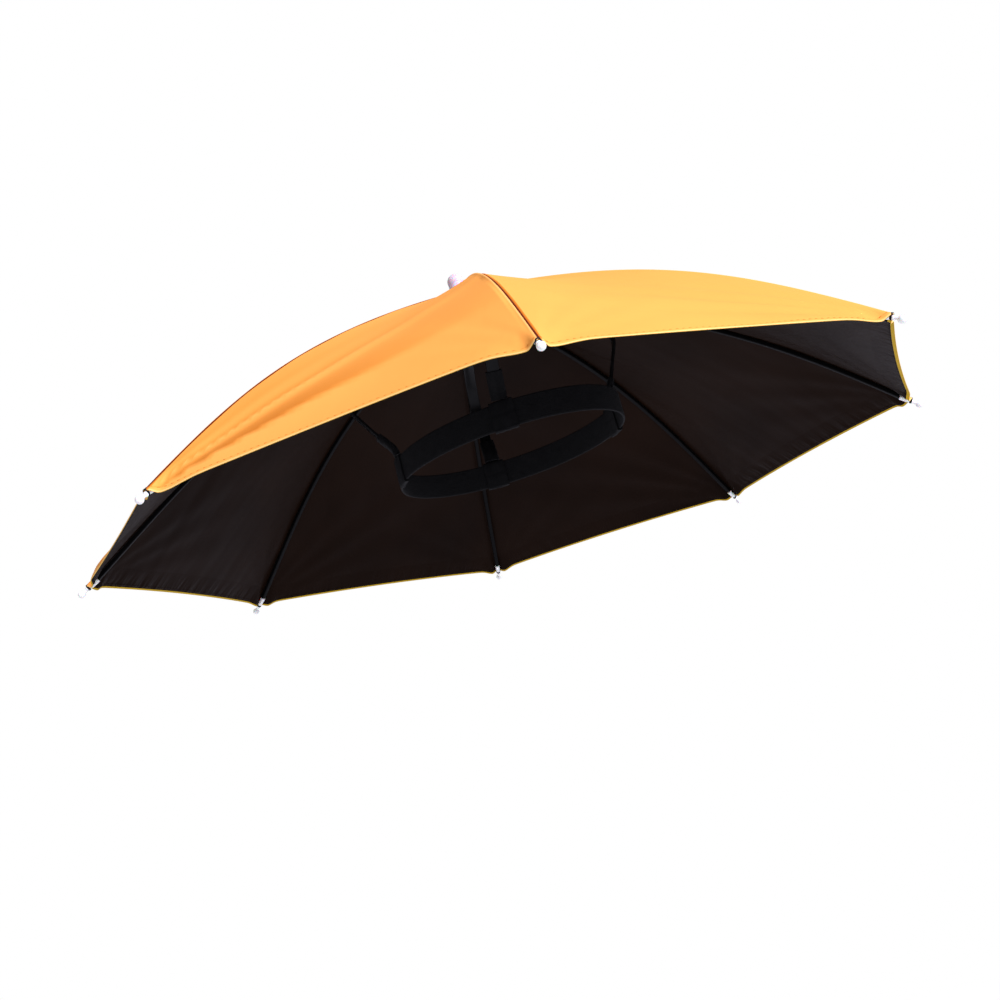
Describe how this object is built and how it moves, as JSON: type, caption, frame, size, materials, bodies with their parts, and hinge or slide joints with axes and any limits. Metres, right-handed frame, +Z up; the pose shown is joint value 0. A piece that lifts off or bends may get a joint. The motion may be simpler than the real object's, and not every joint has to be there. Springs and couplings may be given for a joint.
{
  "type": "umbrella hat",
  "caption": "Hands-free umbrella hat: a sewn cloth canopy on slim steel ribs with beaded tips, carried over the head by bent legs on an elastic headband.",
  "frame": {"origin": "on the canopy's axis at the middle of the headband's height, where a head seats", "axes": "+Z up along the canopy's axis; the wearer looks along -Y and the wearer's right is -X"},
  "size_m": [0.6839, 0.6842, 0.2007],
  "materials": {
    "canopy_cloth": "matt orange umbrella cloth with a dark coated inner face",
    "rib_steel": "gloss black",
    "tip_plastic": "pearly white",
    "hub_plastic": "satin black",
    "cap_plastic": "pale lilac, a little translucent",
    "leg_plastic": "gloss black",
    "tape_webbing": "woven black tape",
    "band_webbing": "ribbed black elastic"
  },
  "bodies": {
    "root": {"gore_1": "canopy_cloth", "gore_2": "canopy_cloth", "gore_3": "canopy_cloth", "gore_4": "canopy_cloth", "gore_5": "canopy_cloth", "gore_6": "canopy_cloth", "gore_7": "canopy_cloth", "gore_8": "canopy_cloth", "rib_front": "rib_steel", "rib_front_left": "rib_steel", "rib_left": "rib_steel", "rib_back_left": "rib_steel", "rib_back": "rib_steel", "rib_back_right": "rib_steel", "rib_right": "rib_steel", "rib_front_right": "rib_steel", "tip_front": "tip_plastic", "tip_front_left": "tip_plastic", "tip_left": "tip_plastic", "tip_back_left": "tip_plastic", "tip_back": "tip_plastic", "tip_back_right": "tip_plastic", "tip_right": "tip_plastic", "tip_front_right": "tip_plastic", "hub": "hub_plastic", "cap": "cap_plastic", "headband": "band_webbing", "leg_front_left": "leg_plastic", "leg_back_left": "leg_plastic", "leg_back_right": "leg_plastic", "leg_front_right": "leg_plastic", "sleeve_front_left": "tape_webbing", "sleeve_back_left": "tape_webbing", "sleeve_back_right": "tape_webbing", "sleeve_front_right": "tape_webbing", "keeper_front_left": "tape_webbing", "keeper_back_left": "tape_webbing", "keeper_back_right": "tape_webbing", "keeper_front_right": "tape_webbing"}
  },
  "joints": []
}
